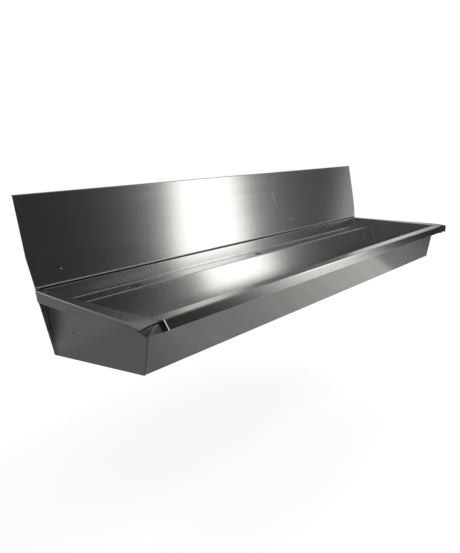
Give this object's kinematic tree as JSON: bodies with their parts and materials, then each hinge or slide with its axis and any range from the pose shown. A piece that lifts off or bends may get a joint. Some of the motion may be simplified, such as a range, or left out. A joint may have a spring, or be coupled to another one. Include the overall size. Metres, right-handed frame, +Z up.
{
  "type": "hand wash trough sink",
  "caption": "Wall-hung hand wash trough in folded stainless sheet, with a high splashback, an inset tap ledge and sloping rims.",
  "frame": {"origin": "on the rear face of the back sheet, mid-length, level with the back of the rim", "axes": "+X along the trough to the right of a user who faces it, +Y into the wall, +Z up"},
  "size_m": [1.8, 0.48, 0.5466],
  "materials": {
    "stainless": "brushed along the length",
    "stainless_hidden": "mill finish",
    "waste_metal": "polished",
    "waste_plastic": "moulded",
    "seal_rubber": "matt",
    "sound_pad": "matt",
    "brass": "plain"
  },
  "bodies": {
    "root": {"back_sheet": "stainless", "splashback": "stainless", "trough_pan": "stainless", "end_panel_left": "stainless", "end_panel_right": "stainless", "rim_stiffener": "stainless_hidden", "fixing_plate_left": "stainless_hidden", "fixing_plate_right": "stainless_hidden", "ledge_gusset_1": "stainless_hidden", "ledge_gusset_2": "stainless_hidden", "ledge_gusset_3": "stainless_hidden", "ledge_gusset_4": "stainless_hidden", "waste_seal_top": "seal_rubber", "waste_strainer": "waste_metal", "waste_screw": "waste_metal", "waste_seal_bottom": "seal_rubber", "waste_body": "waste_plastic", "sound_pad_left": "sound_pad", "sound_pad_right": "sound_pad", "earth_tag": "stainless_hidden", "earth_bolt": "brass", "earth_washers": "brass", "earth_nut": "brass"}
  },
  "joints": []
}
